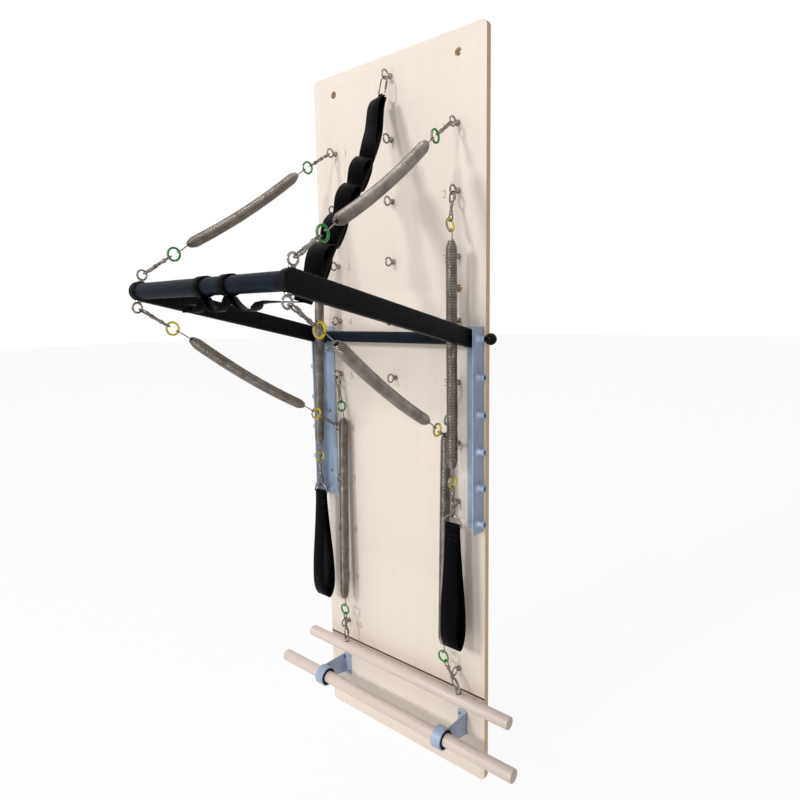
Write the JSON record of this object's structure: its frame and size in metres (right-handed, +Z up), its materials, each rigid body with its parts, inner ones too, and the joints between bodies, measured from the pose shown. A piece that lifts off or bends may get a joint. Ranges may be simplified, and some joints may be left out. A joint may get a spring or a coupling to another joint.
{
  "type": "pilates tower unit",
  "caption": "Wall-mounted pilates spring board with a push-through bar, hooked springs, foot straps, a roll-down bar and a fixed foot bar.",
  "frame": {"origin": "centre of the board's back face, where it bears on the wall, 1000 mm above the board's lower edge", "axes": "+X to the right as one faces the board, +Y into the wall, +Z up"},
  "size_m": [0.88, 0.6438, 2],
  "materials": {
    "board": "pale birch laminate, satin lacquer",
    "dowel": "clear-lacquered beech",
    "blue_steel": "blue-grey metallic powder coat",
    "black_paint": "matt black powder coat",
    "zinc": "bright zinc plate",
    "spring_steel": "drawn spring steel, lightly oiled",
    "knob": "moulded phenolic",
    "webbing": "woven polyester webbing",
    "ring_green": "dipped coloured coating",
    "ring_yellow": "dipped coloured coating",
    "liner": "matt moulded rubber",
    "seam": "dark veneer edging",
    "ply_edge": "sanded plywood edge",
    "ink": "engraved and filled numerals"
  },
  "bodies": {
    "root": {"upper_panel": "board", "lower_panel": "board", "eye_bolt_left_1": "zinc", "eye_bolt_left_2": "zinc", "eye_bolt_left_5": "zinc", "eye_bolt_left_6": "zinc", "eye_bolt_right_1": "zinc", "eye_bolt_right_2": "zinc", "eye_bolt_right_5": "zinc", "eye_bolt_right_6": "zinc", "left_bracket": "blue_steel", "right_bracket": "blue_steel", "foot_bar": "dowel", "foot_bar_clamp_left": "blue_steel", "foot_bar_clamp_right": "blue_steel"},
    "push_bar": {"push_bar_left_arm": "black_paint", "push_bar_right_arm": "black_paint", "push_bar_handle": "black_paint", "push_bar_cross_tube": "black_paint", "bar_eye_bolt_left": "zinc", "bar_eye_bolt_right": "zinc", "safety_strap": "webbing"},
    "pin_left": {"pivot_pin_left": "knob"},
    "pin_right": {"pivot_pin_right": "knob"},
    "strap_hook": {"safety_strap_hook": "zinc"},
    "upper_left_chain": {"upper_left_rear_hook": "zinc", "upper_left_spring": "spring_steel"},
    "upper_left_end": {"upper_left_front_ring": "ring_green"},
    "upper_left_link": {"upper_left_front_hook": "zinc"},
    "upper_right_chain": {"upper_right_rear_hook": "zinc", "upper_right_spring": "spring_steel"},
    "upper_right_end": {"upper_right_front_ring": "ring_green"},
    "upper_right_link": {"upper_right_front_hook": "zinc"},
    "lower_left_chain": {"lower_left_rear_hook": "zinc", "lower_left_spring": "spring_steel"},
    "lower_left_end": {"lower_left_front_ring": "ring_yellow"},
    "lower_left_link": {"lower_left_front_hook": "zinc"},
    "lower_right_chain": {"lower_right_rear_hook": "zinc", "lower_right_spring": "spring_steel"},
    "lower_right_end": {"lower_right_front_ring": "ring_yellow"},
    "lower_right_link": {"lower_right_front_hook": "zinc"},
    "leg_left_chain": {"leg_left_upper_hook": "zinc", "leg_left_spring": "spring_steel"},
    "leg_left_end": {"leg_left_lower_ring": "ring_yellow", "leg_left_lower_hook": "zinc"},
    "leg_left_stirrup": {"leg_left_d_ring": "zinc", "leg_left_foot_strap": "webbing"},
    "leg_right_chain": {"leg_right_upper_hook": "zinc", "leg_right_spring": "spring_steel"},
    "leg_right_end": {"leg_right_lower_ring": "ring_yellow", "leg_right_lower_hook": "zinc"},
    "leg_right_stirrup": {"leg_right_d_ring": "zinc", "leg_right_foot_strap": "webbing"},
    "roll_chain": {"roll_left_upper_hook": "zinc", "roll_right_upper_hook": "zinc", "roll_left_spring": "spring_steel", "roll_right_spring": "spring_steel"},
    "roll_bar": {"roll_left_lower_hook": "zinc", "roll_right_lower_hook": "zinc", "roll_down_bar": "dowel"}
  },
  "joints": [
    {"name": "push_bar_swing", "type": "hinge", "parent": "root", "child": "push_bar", "pos_m": [0, -0.047, 0.245], "axis": [1, 0, 0], "range_deg": [-10, 20], "stiffness_Nm_per_rad": 220, "springref_deg": -11.46, "deforming": ["upper_left_spring", "upper_right_spring", "lower_left_spring", "lower_right_spring", "safety_strap"]},
    {"name": "pin_left_pull", "type": "slide", "parent": "root", "child": "pin_left", "axis": [-1, 0, 0], "range_m": [0, 0.025], "stiffness_N_per_m": 400, "springref_m": -0.01},
    {"name": "pin_right_pull", "type": "slide", "parent": "root", "child": "pin_right", "axis": [1, 0, 0], "range_m": [0, 0.025], "stiffness_N_per_m": 400, "springref_m": -0.01},
    {"name": "strap_hook_swing", "type": "hinge", "parent": "root", "child": "strap_hook", "pos_m": [0, -0.04, 0.943], "axis": [1, 0, 0], "range_deg": [-2.1, 4.1]},
    {"name": "upper_left_chain_swing", "type": "hinge", "parent": "root", "child": "upper_left_chain", "pos_m": [-0.22, -0.04, 0.78], "axis": [1, 0, 0], "range_deg": [-5.7, 11.3]},
    {"name": "upper_left_stretch", "type": "slide", "parent": "upper_left_chain", "child": "upper_left_end", "axis": [0, -0.8409, -0.5411], "range_m": [-0.0755, 0.1505]},
    {"name": "upper_left_link_swing", "type": "hinge", "parent": "push_bar", "child": "upper_left_link", "pos_m": [-0.277, -0.61222, 0.41182], "axis": [1, 0, 0], "range_deg": [-8.9, 4.5]},
    {"name": "upper_right_chain_swing", "type": "hinge", "parent": "root", "child": "upper_right_chain", "pos_m": [0.22, -0.04, 0.78], "axis": [1, 0, 0], "range_deg": [-5.7, 11.3]},
    {"name": "upper_right_stretch", "type": "slide", "parent": "upper_right_chain", "child": "upper_right_end", "axis": [0, -0.8409, -0.5411], "range_m": [-0.0755, 0.1505]},
    {"name": "upper_right_link_swing", "type": "hinge", "parent": "push_bar", "child": "upper_right_link", "pos_m": [0.277, -0.61222, 0.41182], "axis": [1, 0, 0], "range_deg": [-8.9, 4.5]},
    {"name": "lower_left_chain_swing", "type": "hinge", "parent": "root", "child": "lower_left_chain", "pos_m": [-0.22, -0.04, -0.035], "axis": [1, 0, 0], "range_deg": [-8.1, 16]},
    {"name": "lower_left_stretch", "type": "slide", "parent": "lower_left_chain", "child": "lower_left_end", "axis": [0, -0.8471, 0.5314], "range_m": [-0.085, 0.043]},
    {"name": "lower_left_link_swing", "type": "hinge", "parent": "push_bar", "child": "lower_left_link", "pos_m": [-0.277, -0.62946, 0.33472], "axis": [1, 0, 0], "range_deg": [-4.1, 2.1]},
    {"name": "lower_right_chain_swing", "type": "hinge", "parent": "root", "child": "lower_right_chain", "pos_m": [0.22, -0.04, -0.035], "axis": [1, 0, 0], "range_deg": [-8.1, 16]},
    {"name": "lower_right_stretch", "type": "slide", "parent": "lower_right_chain", "child": "lower_right_end", "axis": [0, -0.8471, 0.5314], "range_m": [-0.085, 0.043]},
    {"name": "lower_right_link_swing", "type": "hinge", "parent": "push_bar", "child": "lower_right_link", "pos_m": [0.277, -0.62946, 0.33472], "axis": [1, 0, 0], "range_deg": [-4.1, 2.1]},
    {"name": "leg_left_swing", "type": "hinge", "parent": "root", "child": "leg_left_chain", "pos_m": [-0.22, -0.04, 0.617], "axis": [-1, 0, 0], "range_deg": [0, 4]},
    {"name": "leg_left_stretch", "type": "slide", "parent": "leg_left_chain", "child": "leg_left_end", "axis": [0, 0, -1], "range_m": [0, 0.06], "stiffness_N_per_m": 300, "springref_m": -0.06, "deforming": ["leg_left_spring"]},
    {"name": "leg_left_stirrup_swing", "type": "hinge", "parent": "leg_left_end", "child": "leg_left_stirrup", "pos_m": [-0.262, -0.084, -0.2135], "axis": [-1, 0, 0], "range_deg": [0, 60]},
    {"name": "leg_right_swing", "type": "hinge", "parent": "root", "child": "leg_right_chain", "pos_m": [0.22, -0.04, 0.617], "axis": [-1, 0, 0], "range_deg": [0, 4]},
    {"name": "leg_right_stretch", "type": "slide", "parent": "leg_right_chain", "child": "leg_right_end", "axis": [0, 0, -1], "range_m": [0, 0.06], "stiffness_N_per_m": 300, "springref_m": -0.06, "deforming": ["leg_right_spring"]},
    {"name": "leg_right_stirrup_swing", "type": "hinge", "parent": "leg_right_end", "child": "leg_right_stirrup", "pos_m": [0.246, -0.084, -0.2135], "axis": [-1, 0, 0], "range_deg": [0, 60]},
    {"name": "roll_bar_swing", "type": "hinge", "parent": "root", "child": "roll_chain", "pos_m": [0, -0.04, 0.128], "axis": [-1, 0, 0], "range_deg": [0, 60]},
    {"name": "roll_bar_stretch", "type": "slide", "parent": "roll_chain", "child": "roll_bar", "axis": [0, 0, -1], "range_m": [0, 0.35], "deforming": ["roll_left_spring", "roll_right_spring"]}
  ],
  "couplings": [
    {"joint": "strap_hook_swing", "follows": "push_bar_swing", "ratio": 0.2},
    {"joint": "upper_left_chain_swing", "follows": "push_bar_swing", "ratio": 0.5594},
    {"joint": "upper_left_stretch", "follows": "push_bar_swing", "m_per_rad": 0.4298},
    {"joint": "upper_left_link_swing", "follows": "push_bar_swing", "ratio": -0.4391},
    {"joint": "upper_right_chain_swing", "follows": "push_bar_swing", "ratio": 0.5594},
    {"joint": "upper_right_stretch", "follows": "push_bar_swing", "m_per_rad": 0.4298},
    {"joint": "upper_right_link_swing", "follows": "push_bar_swing", "ratio": -0.4391},
    {"joint": "lower_left_chain_swing", "follows": "push_bar_swing", "ratio": 0.7961},
    {"joint": "lower_left_stretch", "follows": "push_bar_swing", "m_per_rad": -0.2421},
    {"joint": "lower_left_link_swing", "follows": "push_bar_swing", "ratio": -0.2012},
    {"joint": "lower_right_chain_swing", "follows": "push_bar_swing", "ratio": 0.7961},
    {"joint": "lower_right_stretch", "follows": "push_bar_swing", "m_per_rad": -0.2421},
    {"joint": "lower_right_link_swing", "follows": "push_bar_swing", "ratio": -0.2012},
    {"joint": "roll_bar_stretch", "follows": "roll_bar_swing", "m_per_rad": 0.33}
  ]
}
